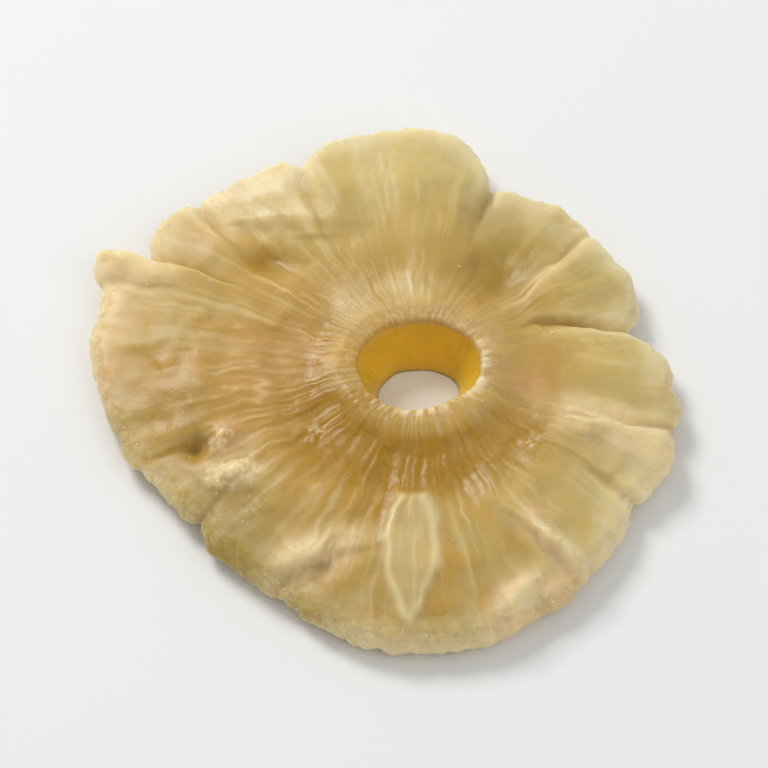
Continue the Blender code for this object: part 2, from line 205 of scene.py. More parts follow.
# Puckered spots, with wrinkles that run straight out from the hole.
WRINKLES = (
    Patch(186.0, 19.0, 9.0, 8.0, 1.0),
    Patch(150.0, 14.5, 6.0, 5.0, 0.8),
    Patch(165.0, 25.0, 6.0, 3.0, 0.8, 30.0),
    Patch(250.0, 19.0, 7.0, 5.0, 0.5),
    Patch(320.0, 18.0, 6.0, 7.0, 0.5),
    Patch(100.0, 12.0, 4.0, 6.0, 0.5),
)

# Clear, golden spots where the flesh is thin or wet. The ones in the hollow beside the broad lobe and in
# the gap under the beak are also painted shade.
CLEAR_AND_SHADE_SPOTS = (
    # also painted shade in the hollow beside the broad lobe
    Patch(54.0, 17.6, 6.6, 4.4, 0.95, 15.0),
    Patch(47.0, 24.0, 3.0, 2.2, 0.6),
    Patch(140.0, 23.8, 3.4, 2.0, 1.0, 37.0),
    Patch(214.0, 13.6, 4.5, 4.0, 1.5, 60.0),
    Patch(216.0, 9.2, 2.4, 4.8, 1.0),
    Patch(212.0, 20.5, 3.0, 5.5, 0.35),
    Patch(260.0, 20.5, 3.0, 3.4, 1.0),
    Patch(300.0, 16.5, 2.6, 5.4, 0.8),
    Patch(190.0, 20.5, 2.6, 4.0, 0.3),
    Patch(275.0, 14.6, 9.0, 2.8, 0.9, 90.0),
    Patch(315.0, 15.5, 6.0, 4.4, 0.8, 90.0),
    Patch(190.0, 29.0, 8.0, 5.5, 0.75, 90.0),
    # also painted shade in the gap under the beak
    Patch(242.5, 30.8, 3.6, 1.5, 0.7, -36.0),
    Patch(297.0, 27.8, 3.2, 1.8, 0.4, 16.0),
    Patch(78.0, 21.0, 5.0, 5.0, 0.35),
    Patch(354.0, 30.0, 2.0, 4.0, 0.4),
)

# Pale spots: sugared flesh, and painted highlight on lit crests such as the beak and the curled upper-left
# margin.
PALE_AND_HIGHLIGHT_SPOTS = (
    Patch(127.0, 34.0, 6.0, 2.8, 2.3, 68.0),
    Patch(129.5, 29.0, 6.0, 2.0, 1.3, 47.0),
    Patch(341.0, 26.5, 7.0, 2.6, 1.5, 2.0),
    Patch(213.5, 26.4, 3.6, 1.8, 1.1, -34.0),
    Patch(203.0, 25.6, 2.2, 1.5, 0.3, 30.0),
    Patch(244.5, 27.2, 3.8, 1.4, 1.4, -46.0),
    Patch(291.0, 33.0, 4.0, 1.1, 0.9, -58.0),
    Patch(304.0, 29.2, 3.8, 1.1, 1.3, 16.0),
    Patch(156.0, 36.5, 5.0, 3.4, 0.9),
    Patch(130.0, 12.4, 3.0, 3.0, 0.8, 20.0),
    Patch(98.0, 11.4, 2.2, 4.0, 0.7),
)

# Cream spots: paler flesh, and painted highlight on lit edges and crests, such as the knob, the beak and
# the petal edge beside the hollow.
CREAM_AND_HIGHLIGHT_SPOTS = (
    Patch(156.0, 38.6, 4.4, 3.2, 1.9),
    Patch(145.0, 33.5, 4.5, 4.0, 0.4, 12.0),
    Patch(172.0, 16.0, 2.4, 9.0, 0.3),
    Patch(168.0, 38.4, 2.8, 6.0, 1.2),
    Patch(341.0, 26.5, 7.0, 2.8, 2.3, 2.0),
    Patch(244.5, 27.8, 5.0, 2.5, 2.1, -48.0),
    Patch(291.0, 33.0, 4.6, 1.7, 1.8, -58.0),
    Patch(303.6, 28.8, 4.8, 1.5, 2.0, 16.0),
    Patch(299.5, 33.2, 2.2, 1.6, 0.8),
    Patch(325.0, 29.5, 3.0, 5.0, 0.5),
    # painted highlight on the lit edge of the petal beside the hollow
    Patch(42.5, 21.5, 8.5, 1.5, 1.0, 2.0),
    Patch(62.0, 27.5, 2.6, 4.0, 0.5),
)

# Dull, greyish spots: partly the flesh's duller tone, partly painted shade in the hollow beside the broad
# lobe and on the lower-left lobe, which slopes away from the light.
DUSKY_AND_SHADE_SPOTS = (
    # painted shade on the lower-left lobe
    Patch(226.0, 32.0, 6.0, 9.0, 1.3),
    Patch(246.0, 34.0, 3.6, 6.5, 0.9),
    Patch(191.0, 37.0, 3.4, 6.5, 0.7),
    Patch(300.0, 34.8, 2.6, 9.0, 0.6),
    Patch(275.0, 34.4, 2.8, 10.0, 0.4),
    Patch(350.0, 30.8, 2.6, 6.5, 0.5),
    Patch(24.0, 26.8, 3.0, 5.0, 0.5),
    Patch(53.0, 28.0, 3.0, 4.0, 0.5),
    # painted shade in the hollow beside the broad lobe
    Patch(54.0, 19.5, 7.0, 5.0, 0.7, 15.0),
    Patch(36.0, 24.0, 4.0, 2.0, 0.4),
    Patch(112.0, 25.0, 4.0, 3.4, 0.5),
    Patch(67.0, 25.0, 4.0, 3.2, 0.6),
    Patch(352.0, 24.0, 7.0, 2.4, 0.5),
    Patch(0.0, 9.6, 2.4, 6.0, 0.5),
)

# Shaded clefts and undercuts.
DARK_SPOTS = (
    Patch(245.8, 29.2, 1.6, 0.6, 0.6, -60.0),
    Patch(201.5, 28.4, 1.6, 1.3, 0.5),
    Patch(219.0, 26.6, 2.0, 0.7, 0.6, -34.0),
    Patch(124.8, 22.4, 3.0, 0.5, 0.7, 55.0),
)

# Flushed, pinkish tan spots.
BLUSH_SPOTS = (
    Patch(350.0, 13.5, 2.4, 3.6, 0.7),
    Patch(203.0, 24.6, 2.4, 1.8, 0.8, 30.0),
    Patch(145.0, 32.0, 4.0, 3.6, 0.6, 12.0),
    Patch(248.0, 28.6, 2.4, 2.0, 0.5),
    Patch(176.0, 19.0, 5.0, 6.0, 0.5),
    Patch(156.0, 38.0, 3.0, 2.6, 0.4),
    Patch(288.0, 34.5, 3.0, 3.0, 0.6),
    Patch(300.5, 33.6, 2.2, 2.2, 0.7),
    Patch(303.5, 24.6, 1.6, 1.4, 0.9),
    Patch(178.0, 37.0, 2.4, 6.0, 0.5),
)


class Noise(NamedTuple):
    """One field of noise. Each field has a shift of its own, so that no two are alike."""

    across: float  # size of its blobs along X and Y
    upright: float  # size of its blobs along Z
    octaves: int
    shift: float


class Fibres(NamedTuple):
    """One field of noise drawn out along the fibres, which run from the hole to the margin."""

    per_radian: float  # how closely they lie round the hole
    length: float
    shift: float


NOISE_FALL = 0.8  # how quickly a field's finer octaves get weaker
NOISE_STEP = 2.1  # how much finer each octave is than the one before

# Fine detail. A push is how far the surface moves out, or back in, along its normals.
DENTS = Noise(5.0, 5.0, 2, 3.0)
DENT_PUSH = 0.24
FIBRES = Fibres(22.0, 12.0, 7.0)
FIBRE_PUSH = 0.07
FIBRE_PUSH_IN_BAND = 0.03
FIBRE_LOSS_AT_MARGIN = 0.6
FINE_FIBRES = Fibres(55.0, 6.0, 19.0)
FINE_PUSH = 0.02
FINE_PUSH_IN_BAND = 0.05
FINE_PUSH_IN_WRINKLES = 0.05
PUCKERS = Fibres(17.0, 7.0, 71.0)
PUCKER_PUSH = 0.26
GAPS = Noise(3.2, 3.2, 2, 89.0)  # where the fine fibres, puckers and notches are missing
GAP_CONTRAST = 1.3
NOTCHES = Fibres(16.0, 2.6, 23.0)
NOTCH_PUSH_ON_COLLAR = 0.04
NOTCH_PUSH_ON_RIM = 0.16
COLLAR_DETAIL = (2.0, 4.0)  # past the hole, where the collar's notches fade out
RIM_MIDDLE = 0.5  # past the hole
RIM_HALF_WIDTH = 0.7
PORES = Noise(0.8, 0.8, 2, 31.0)
PORE_PUSH = 0.010
PORE_PUSH_IN_BAND = 0.03
PORE_PUSH_IN_CRUMBS = 0.20
SHREDS = Noise(1.2, 1.2, 2, 37.0)
SHRED_PUSH = 0.32
CRUMB_PUSH = 0.05
RAGS = Noise(1.1, 1.3, 2, 41.0)  # of the ragged margin
RAG_PUSH = 0.28
RAG_WIDTH = 3.0
UNDERSIDE_LOSS = 0.5  # share of all pushes that the underside does without

# Fine detail wanders sideways, so that fibres and creases don't run too straight.
WANDER_X = Noise(3.4, 9.0, 2, 83.0)
WANDER_Y = Noise(3.4, 9.0, 2, 97.0)
WANDER_REACH = 0.45
WANDER_PAST_HOLE = (2.0, 6.0)  # none before the first distance, all past the second
WANDER_TO_MARGIN = (0.5, 4.0)

# Torn spots: which of a patch's flakes are left standing.
FLAKES = Noise(1.3, 1.3, 3, 43.0)
FLAKE_CONTRAST = 1.6
FLAKE_LEVEL = 0.9
FLAKE_EDGE = (0.18, 0.75)

# Colours as they show in daylight, red, green and blue from 0 to 255.
INNER_COLOUR = (210, 176, 98)
FRUITLET_COLOUR = (214, 192, 126)
GOLDEN_AND_SHADE_COLOUR = (192, 150, 54)
MARGIN_COLOUR = (240, 227, 180)
CLEAR_COLOUR = (174, 130, 10)
DUSKY_AND_SHADE_COLOUR = (172, 145, 68)
BLUSH_COLOUR = (222, 172, 122)
DARK_COLOUR = (154, 122, 34)
COLLAR_COLOUR = (199, 163, 98)
WALL_COLOUR = (226, 186, 56)
CREASE_AND_SHADE_COLOUR = (182, 138, 52)
PALE_COLOUR = (242, 224, 184)
CREAM_COLOUR = (240, 214, 164)
SUGAR_COLOUR = (252, 248, 238)
FLOOR_COLOUR = (245, 245, 244)
MOST_REFLECTED = 0.88  # of any colour, as linear light; flesh that reflects more looks green


class Zone(NamedTuple):
    """Where one look gives way to another, and how uneven the border between them is."""

    start: float
    end: float
    by_blotch: float
    by_streak: float


BLOTCHES = Noise(3.6, 3.6, 3, 53.0)
STREAKS = Fibres(20.0, 9.0, 59.0)
SHADE_BY_BLOTCH = 0.10
SHADE_BY_STREAK = 0.07

# Broad colours. An amount is the share of a colour that is mixed in.
FRUITLET_ZONE = Zone(7.0, 23.0, 3.0, 0.0)  # past the hole
GOLDEN_AND_SHADE_ZONE = Zone(0.15, 1.0, 0.25, 0.15)  # from the far side to the golden side
GOLDEN_AND_SHADE_TURN = 212.0  # degrees, the side where the flesh is deepest golden: partly clearer flesh, partly painted shade on that half of the ring
GOLDEN_AND_SHADE_AMOUNT = 0.85
MARGIN_ZONE = Zone(0.3, 5.0, 1.6, 0.8)  # in from the margin
MARGIN_AMOUNT = 0.85
MARGIN_GOLDEN_LOSS = 0.45  # how much less of it the golden side has
EDGE_ZONE = Zone(0.0, 1.5, 0.0, 0.6)  # in from the margin
EDGE_AMOUNT = 0.6
UNDER_MARGIN = (0.2, 2.6)  # in from the margin, where the underside stops looking like the upper face
UNDERSIDE_WALL_AMOUNT = 0.3  # of the wall's colour on the underside

# Pale fibres and the golden band.
PALE_FIBRES = Fibres(46.0, 16.0, 73.0)
PALE_FIBRE_CONTRAST = 2.0
PALE_FIBRE_GAP = 0.25
PALE_FIBRE_AMOUNT = 0.35
BAND_LOOK_RISE = 1.6  # how far past the collar the band reaches its full colour
BAND_LOOK_FALL = (2.0, 3.5)  # its colour fades from this far inside its end to this far past it
BAND_LOOK_TURN = 247.0  # degrees, the side where it is strongest
BAND_LOOK_EVENNESS = 0.25
BAND_LOOK = (0.85, 0.5, 0.35)  # amount, by blotch, by streak

# Spots, collar and creases.
SPOT_LOOKS = (  # each with its amount, by blotch, by streak
    (CLEAR_AND_SHADE_SPOTS, CLEAR_COLOUR, (0.8, 0.5, 0.0)),
    (DUSKY_AND_SHADE_SPOTS, DUSKY_AND_SHADE_COLOUR, (0.8, 0.4, 0.0)),
    (BLUSH_SPOTS, BLUSH_COLOUR, (0.7, 0.0, 0.5)),
)
COLLAR_ZONE = Zone(2.0, 4.6, 0.8, 1.2)  # past the hole
COLLAR_AMOUNT = 0.9
COLLAR_GOLDEN_LOSS = 0.7
CREASE_AMOUNT = 0.5
CREASE_LINE_HALF_WIDTH = 0.6
CREASE_SIDE = 1.3  # how far beside a crease its pale edge lies
CREASE_SIDE_HALF_WIDTH = 0.7

# Seed pocket.
OUTLINE_AMOUNT = 0.6
OUTLINE_HALF_WIDTH = 0.7
POCKET_AMOUNT = 0.35
POCKET_FADE = 1.6

# Pale, cream, torn and dark spots, broken up by threads.
THREADS = Fibres(40.0, 8.0, 79.0)
THREAD_LEVEL = 0.75
THREAD_CONTRAST = 0.7
THREAD_BY_BLOTCH = 0.5
THREAD_MOST = 1.3
PALE_AMOUNT = 0.62
CREAM_AMOUNT = 0.7
TORN_AMOUNT = 0.6
DARK_AMOUNT = 0.75
CREST_AMOUNT = 0.45
CREST_HALF_WIDTH = 0.13
CREST_CONTRAST = 1.5

# Painted highlight along the hole's upper edge, which is toothed.
HIGHLIGHT_RIM_TURN = 310.0  # degrees, the side where the painted highlight is brightest
HIGHLIGHT_RIM_SIDE = (0.2, 0.9)  # from the far side to the brightest one
HIGHLIGHT_RIM_AMOUNT = 0.9
HIGHLIGHT_RIM_MIDDLE = 0.7  # past the hole
TEETH = Fibres(13.0, 3.0, 67.0)
TEETH_CONTRAST = 1.8

# Frost: how much of the surface fine sugar covers.
FROST_EVERYWHERE = 0.03
FROST_ON_MARGIN = 0.32
FROST_ON_COLLAR = 0.15
FROST_ON_CRUMBS = 0.4
FROST_ON_PALE = 0.15
FROST_DUSKY_LOSS = 0.8
FROST_MARGIN_MIDDLE = 0.6  # in from the margin
FROST_COLLAR_MIDDLE = 1.2  # past the hole
FROST_HALF_WIDTH = 1.6
FROST_SPECKS = (1700.0, 3.0)  # blobs in a metre, detail
FROST_SPECK_EDGE = {"From Min": 0.50, "From Max": 0.62}

# Wetness: how clear and shiny the flesh is.
DAMP_BLOTCHES = Noise(6.0, 6.0, 2, 61.0)
DAMP_CONTRAST = 0.5
DAMP_EVERYWHERE = 0.35
DAMP_WALL = 0.7
ROUGHNESS = {"To Min": 0.60, "To Max": 0.34}  # of dry flesh and of wet flesh

# Flesh that light goes into, with a fine-grained surface.
FLESH_SHADER = {
    "Subsurface Weight": 0.9,
    "Subsurface Radius": (1.0, 0.97, 0.50),
    "Subsurface Scale": 2.2 * METRES,
    "IOR": 1.42,
    "Coat Weight": 0.08,
    "Coat Roughness": 0.30,
}
BUMPS = (2600.0, 4.0)  # blobs in a metre, detail
BUMP_VALUES = {"Strength": 0.5, "Distance": 0.08 * METRES}

# Sugar grains.
GRAIN_COUNT = 900
GRAIN_SIZES = (0.07, 0.18)
GRAIN_SMALLNESS = 2.5  # 1 for as many large grains as small ones, more for fewer large ones
GRAIN_CHIPS = 0.06  # how far a grain's corners stray, as a share of its size
GRAIN_STRETCH = (0.7, 1.3)
GRAIN_LIFT = (-0.1, 0.35)  # of its middle above the flesh, as a share of its size
GRAIN_FROST_POWER = 1.6  # how strongly grains keep to the frost
GRAIN_PALE_LOSS = 0.85
CUBE_CORNERS = np.array([(x, y, z) for x in (-0.5, 0.5) for y in (-0.5, 0.5) for z in (-0.5, 0.5)])
CUBE_FACES = np.array(((0, 1, 3, 2), (4, 6, 7, 5), (0, 4, 5, 1), (2, 3, 7, 6), (0, 2, 6, 4), (1, 5, 7, 3)))
SUGAR_TINTS = (700.0, 2.0)  # blobs in a metre, detail
SUGAR_SHADER = {
    "Subsurface Weight": 0.4,
    "Subsurface Radius": (1.0, 0.9, 0.7),
    "Subsurface Scale": 0.6 * METRES,
    "Roughness": 0.3,
}

# Area lights that point at the origin: name, place and width in metres, power, colour.
LAMPS = (
    ("window", (-0.35, 0.45, 0.55), 0.30, 3.4, (1.0, 0.985, 0.96)),
    ("fill", (0.45, -0.35, 0.6), 0.6, 1.0, (1.0, 1.0, 1.0)),
)
SKY = {"Color": (0.95, 0.96, 0.98, 1.0), "Strength": 0.5}
FLOOR_HALF_WIDTH = 3.0  # metres
FLOOR_ROUGHNESS = 0.7
CAMERA_ELEVATION = 58.0  # degrees
CAMERA_DISTANCE = 0.8  # metres
CAMERA_LENS = 312.0
CAMERA_NEAREST = 0.01  # metres
CAMERA_TARGET_HEIGHT = 3.0


def smooth_step(low, high, value):
    """0 below low, 1 above high, and an even rise between them."""
    share = np.clip((value - low) / (high - low), 0.0, 1.0)
    return share * share * (3.0 - 2.0 * share)


def bell(distance, half_width):
    """1 at distance 0, dying away smoothly on both sides."""
    return np.exp(-((distance / half_width) ** 2))


def facing(angle, turn):
    """1 on the side that lies at turn, in degrees, and 0 on the far side."""
    return 0.5 + 0.5 * np.cos(angle - math.radians(turn))


def waves(angle, rows):
    """Sum of (count, height, turn in degrees) waves round the ring."""
    return sum(height * np.cos(count * (angle - math.radians(turn))) for count, height, turn in rows)


def column_shares(fruitlet, following):
    """Where one fruitlet's columns stand, as shares of its length, closest together at its creases."""
    span = math.radians((following.start - fruitlet.start) % 360.0)
    arc = span * (fruitlet.reach + following.reach) / 2.0
    count = max(LEAST_COLUMNS, round(arc / COLUMN_SPACING))
    even = np.arange(count) / count
    return even - CREASE_CROWDING * np.sin(2.0 * np.pi * even)


def lay_out_columns():
    """One row per column: the fruitlet's place in FRUITLETS and the share of the way along it."""
    columns = []
    for index, fruitlet in enumerate(FRUITLETS):
        following = FRUITLETS[(index + 1) % len(FRUITLETS)]
        for share in column_shares(fruitlet, following):
            columns.append((index, share))
    return np.array(columns)


class Columns:
    """The sizes of the fruitlets at every column, each as one array."""

    def __init__(self):
        laid_out = lay_out_columns()
        own = laid_out[:, 0].astype(int)
        self.share = laid_out[:, 1]
        self.own = np.array(FRUITLETS)[own]
        self.next = np.array(FRUITLETS)[(own + 1) % len(FRUITLETS)]
        span = (self.of_next("start") - self.of("start")) % 360.0
        self.span = np.radians(span)
        self.margin_angle = self.of("start") + self.share * span
        before = np.array(FRUITLETS)[own - 1]
        self.before_start = self.end_height(before)
        self.at_start = self.start_height(self.own)
        self.at_end = self.end_height(self.own)
        self.after_end = self.start_height(self.next)

    @staticmethod
    def start_height(rows):
        return rows[:, Fruitlet._fields.index("top")] + rows[:, Fruitlet._fields.index("tilt")] / 2.0

    @staticmethod
    def end_height(rows):
        return rows[:, Fruitlet._fields.index("top")] - rows[:, Fruitlet._fields.index("tilt")] / 2.0

    def between(self, field):
        """A crease's size, carried evenly from one crease to the next."""
        return self.of(field) * (1.0 - self.share) + self.of_next(field) * self.share

    def of(self, field):
        return self.own[:, Fruitlet._fields.index(field)]

    def of_next(self, field):
        return self.next[:, Fruitlet._fields.index(field)]


def margin_reach(columns):
    """Distance of the margin from the hole's centre."""
    across = 2.0 * columns.share - 1.0
    swell = 1.0 - np.abs(across) ** columns.of("fullness")
    reach = columns.between("reach") + columns.of("bulge") * swell * (1.0 - columns.of("lean") * across)
    return reach + waves(np.radians(columns.margin_angle), MARGIN_RUFFLES)


def hole_reach(angle):
    """Distance of the hole's upper edge from its centre."""
    x_share = np.cos(angle) / HOLE_HALF_X
    y_share = np.sin(angle) / HOLE_HALF_Y
    return 1.0 / np.hypot(x_share, y_share) + waves(angle, HOLE_WAVES)


def crease_gap(columns, distance):
    """Distance along the arc to the nearer crease, and whether that crease is the fruitlet's first."""
    to_first = columns.share * columns.span * distance
    to_last = (1.0 - columns.share) * columns.span * distance
    return np.minimum(to_first, to_last), to_first < to_last


def crease_presence(columns, past_hole, nearer_first):
    """0 where the nearer crease hasn't begun yet, 1 where it is fully there."""
    inner = np.where(nearer_first, columns.of("inner"), columns.of_next("inner"))
    return smooth_step(inner, inner + CREASE_FADE, past_hole)


def fruitlet_height(columns, distance, past_hole):
    """Height of the fruitlets' upper faces. Two that differ at their crease meet in a blended step."""
    own = columns.of("top") + columns.of("tilt") * (0.5 - columns.share)
    gap, nearer_first = crease_gap(columns, distance)
    beside = np.where(nearer_first, columns.before_start, columns.after_end)
    own_side = np.where(nearer_first, columns.at_start, columns.at_end)
    presence = crease_presence(columns, past_hole, nearer_first)
    half_width = STEP_HALF_WIDTH + (1.0 - presence) * distance * columns.span / 4.0
    return own + (beside - own_side) / 2.0 * (1.0 - smooth_step(0.0, half_width, gap))


def nearer_crease(columns, nearer_first):
    """Depth of the nearer crease where it is fully there."""
    return np.where(nearer_first, columns.of("crease"), columns.of_next("crease"))


def crease_depth(columns, distance, past_hole):
    gap, nearer_first = crease_gap(columns, distance)
    depth = nearer_crease(columns, nearer_first)
    return depth * bell(gap, CREASE_HALF_WIDTH) * crease_presence(columns, past_hole, nearer_first)


def band_depth(angle, past_hole):
    """Depth of the golden band, deepest on one side."""
    depth = BAND_DEPTH * (BAND_EVENNESS + (1.0 - BAND_EVENNESS) * facing(angle, BAND_TURN))
    rise = smooth_step(BAND_START, BAND_START + BAND_SLOPE, past_hole)
    return depth * rise * (1.0 - smooth_step(BAND_END - BAND_SLOPE, BAND_END + BAND_SLOPE, past_hole))


def local_axes(x, y, spot):
    """Lengthwise and crosswise shares of a spot's half sizes, at points given from the hole's centre."""
    angle = math.radians(spot.angle)
    along = angle + math.radians(spot.turn)
    off_x = x - math.cos(angle) * spot.distance
    off_y = y - math.sin(angle) * spot.distance
    lengthwise = (off_x * math.cos(along) + off_y * math.sin(along)) / spot.half_length
    crosswise = (off_y * math.cos(along) - off_x * math.sin(along)) / spot.half_width
    return lengthwise, crosswise


def swelling_height(x, y):
    """Sum of the local rises and hollows."""
    total = np.zeros(np.shape(x))
    for swelling in SWELLINGS:
        lengthwise, crosswise = local_axes(x, y, swelling)
        crosswise = crosswise / (1.0 - swelling.steep * np.sign(crosswise))
        total = total + swelling.height * np.exp(-(lengthwise**2) - crosswise**2)
    return total


def patch_amount(points, patches):
    """How strongly the patches show: each one's own amount at its middle, and 0 away from them all."""
    total = np.zeros(points.shape[:-1])
    for patch in patches:
        lengthwise, crosswise = local_axes(points[..., 0], points[..., 1], patch)
        total = np.maximum(total, patch.amount * np.exp(-(lengthwise**2) - crosswise**2))
    return total


def torn_amount(points):
    """Where the crumbs lie, from 0 to 1, broken into ragged flakes with crisp edges."""
    flakes = FLAKE_LEVEL + FLAKE_CONTRAST * noise_field(points, FLAKES)
    return smooth_step(*FLAKE_EDGE, patch_amount(points, CRUMBS) * flakes)


def almond_shape(angle, distance):
    """1 along the seed pocket and 0 beyond it, and the distance from its outline, negative inside."""
    share = np.clip((distance - ALMOND_INNER) / (ALMOND_OUTER - ALMOND_INNER), 0.0, 1.0)
    wave = ALMOND_BLUNTNESS + (1.0 - ALMOND_BLUNTNESS) * share
    half_width = ALMOND_HALF_WIDTH * np.sin(np.pi * wave)
    turn = (angle - math.radians(ALMOND_ANGLE) + np.pi) % (2.0 * np.pi) - np.pi
    begun = smooth_step(-ALMOND_END_FADE, ALMOND_END_FADE, distance - ALMOND_INNER)
    ended = smooth_step(-ALMOND_END_FADE, ALMOND_END_FADE, distance - ALMOND_OUTER)
    return begun * (1.0 - ended), np.abs(turn * distance) - half_width


def almond_height(angle, distance):
    """The seed pocket stands a little above the fruitlet, and its lip a little above the pocket."""
    presence, outside = almond_shape(angle, distance)
    inside = 1.0 - smooth_step(-ALMOND_LIP_HALF_WIDTH, ALMOND_LIP_HALF_WIDTH, outside)
    return presence * (ALMOND_RISE * inside + ALMOND_LIP * bell(outside, ALMOND_LIP_HALF_WIDTH))


def top_height(columns, angle, distance, past_hole, to_margin):
    """Height of the upper face before its margin rounds off."""
    brink = smooth_step(COLLAR_WIDTH - COLLAR_SLOPE, COLLAR_WIDTH + COLLAR_SLOPE, past_hole)
    collar = COLLAR_HEIGHT - COLLAR_FALL * brink
    outer = fruitlet_height(columns, distance, past_hole)
    share = smooth_step(COLLAR_WIDTH, BAND_END, past_hole)
    height = collar * (1.0 - share) + outer * share
    height = height - band_depth(angle, past_hole) - crease_depth(columns, distance, past_hole)
    height = height - MARGIN_FALL * (1.0 - smooth_step(0.0, MARGIN_FALL_WIDTH, to_margin))
    height = height + swelling_height(distance * np.cos(angle), distance * np.sin(angle))
    return height + almond_height(angle, distance)


def underside_height(columns, distance, to_margin):
    """The underside is flat near the hole, and curls up towards the margin with shallow creases."""
    curl_share = 1.0 - smooth_step(0.0, UNDERSIDE_CURL_WIDTH, to_margin)
    gap, _ = crease_gap(columns, distance)
    groove = UNDERSIDE_CREASE * bell(gap, UNDERSIDE_CREASE_HALF_WIDTH)
    return curl_share * (columns.between("curl") + groove)


def row_angle(columns, outward):
    """Angle of every column at one row. Each crease swings round and bows as it runs in to the hole."""
    bow = columns.between("bow") * np.sin(np.pi * outward)
    return np.radians(columns.margin_angle + columns.between("swing") * (1.0 - outward) + bow)


def face_point(columns, outward):
    """Angle, distance from the hole's centre, distance past its edge and distance to the margin."""
    angle = row_angle(columns, outward)
    inner = hole_reach(angle)
    even = columns.between("reach")
    outer = margin_reach(columns)
    distance = inner + (even - inner) * outward + (outer - even) * outward**BULGE_ONSET
    return angle, distance, distance - inner, outer - distance


def rounded_off(columns, full, to_margin, width):
    """Height of a face that rounds off over this width to the middle of the margin."""
    edge = np.clip(1.0 - to_margin / width, 0.0, 1.0)
    middle = MARGIN_MIDDLE + columns.between("curl")
    return middle + (full - middle) * np.sqrt(1.0 - edge**MARGIN_FULLNESS)


def top_row(columns, outward):
    angle, distance, past_hole, to_margin = face_point(columns, outward)
    full = top_height(columns, angle, distance, past_hole, to_margin)
    height = rounded_off(columns, full, to_margin, MARGIN_TOP_ROUND)
    rim = np.clip(1.0 - past_hole / HOLE_EDGE, 0.0, 1.0)
    return angle, distance, height - HOLE_EDGE * (1.0 - np.sqrt(1.0 - rim**2))


def underside_row(columns, outward):
    angle, distance, past_hole, to_margin = face_point(columns, outward)
    distance = distance - HOLE_TAPER * (1.0 - outward) ** HOLE_FLARE
    full = underside_height(columns, distance, to_margin)
    return angle, distance, rounded_off(columns, full, to_margin, MARGIN_BOTTOM_ROUND)


def wall_row(columns, drop):
    """One row of the hole's wall. drop goes from 0 at the upper edge to 1 at the underside."""
    angle = row_angle(columns, 0.0)
    upper_edge = COLLAR_HEIGHT - HOLE_EDGE
    distance = hole_reach(angle) - HOLE_TAPER * smooth_step(0.0, 1.0, drop)
    return angle, distance, np.full(len(angle), upper_edge * (1.0 - drop))


def rounding_start(columns, width):
    """How far out, from 0 at the hole to 1 at the margin, a margin rounding of this width starts."""
    even = columns.between("reach")
    length = even - hole_reach(np.radians(columns.margin_angle))
    length = length + BULGE_ONSET * (margin_reach(columns) - even)
    return 1.0 - width / length


class Surface:
    """The closed grid as rows x columns arrays, with what the finer detail and the colours need."""

    def __init__(self):
        self.columns = Columns()
        self.rows = []
        self.kinds = []
        self.add_top()
        self.add_underside()
        self.add_wall()
        grid = np.array(self.rows)
        self.angle = grid[:, 0]
        self.distance = grid[:, 1]
        self.height = grid[:, 2]
        self.is_top = self.rows_of("top")
        self.is_under = self.rows_of("under")
        self.is_wall = self.rows_of("wall")
        self.past_hole = self.distance - hole_reach(self.angle)
        self.to_margin = margin_reach(self.columns) - self.distance
        around_margin = self.is_under * (1.0 - smooth_step(*UNDER_MARGIN, self.to_margin))
        self.shows_top = np.maximum(self.is_top, around_margin)

    def rows_of(self, kind):
        """1 all along the rows of one kind, and 0 along the others."""
        return (np.array(self.kinds)[:, None] == kind) * np.ones_like(self.angle)

    def add(self, kind, row):
        self.rows.append(row)
        self.kinds.append(kind)

    def add_top(self):
        flat_end = rounding_start(self.columns, MARGIN_TOP_ROUND)
        for share in np.linspace(0.0, 1.0, TOP_ROWS):
            self.add("top", top_row(self.columns, flat_end * share))
        for step in range(1, TOP_ROUND_ROWS + 1):
            share = math.sin(0.5 * math.pi * step / TOP_ROUND_ROWS)
            self.add("top", top_row(self.columns, flat_end + (1.0 - flat_end) * share))

    def add_underside(self):
        flat_end = rounding_start(self.columns, MARGIN_BOTTOM_ROUND)
        for step in range(BOTTOM_ROUND_ROWS - 1, 0, -1):
            share = math.sin(0.5 * math.pi * step / BOTTOM_ROUND_ROWS)
            self.add("under", underside_row(self.columns, flat_end + (1.0 - flat_end) * share))
        for share in np.linspace(1.0, 0.0, UNDERSIDE_ROWS):
            self.add("under", underside_row(self.columns, flat_end * share))

    def add_wall(self):
        for step in range(WALL_ROWS - 1, 0, -1):
            self.add("wall", wall_row(self.columns, step / WALL_ROWS))

    def points(self):
        x = self.distance * np.cos(self.angle)
        y = self.distance * np.sin(self.angle)
        return np.stack((x, y, self.height), axis=-1)


def grid_normals(points):
    """Unit normals that point out of the closed grid."""
    down_rows = np.roll(points, -1, axis=0) - np.roll(points, 1, axis=0)
    along_columns = np.roll(points, -1, axis=1) - np.roll(points, 1, axis=1)
    normals = np.cross(down_rows, along_columns)
    return normals / np.maximum(np.linalg.norm(normals, axis=-1, keepdims=True), 1e-9)


def noise_at(places, octaves, shift):
    """Blender's own Perlin noise at every place, about -1 to 1."""
    shifted = places + np.array((shift, -shift, 0.5 * shift)) + np.array((SEED, 0.0, 0.0))
    spots = shifted.reshape(-1, 3)
    if octaves == 1:
        values = [noise.noise(Vector(spot)) for spot in spots]
    else:
        values = [noise.fractal(Vector(spot), NOISE_FALL, NOISE_STEP, octaves) for spot in spots]
    return np.array(values).reshape(places.shape[:-1])


def noise_field(points, field):
    sizes = np.array((field.across, field.across, field.upright))
    return noise_at(points / sizes, field.octaves, field.shift)


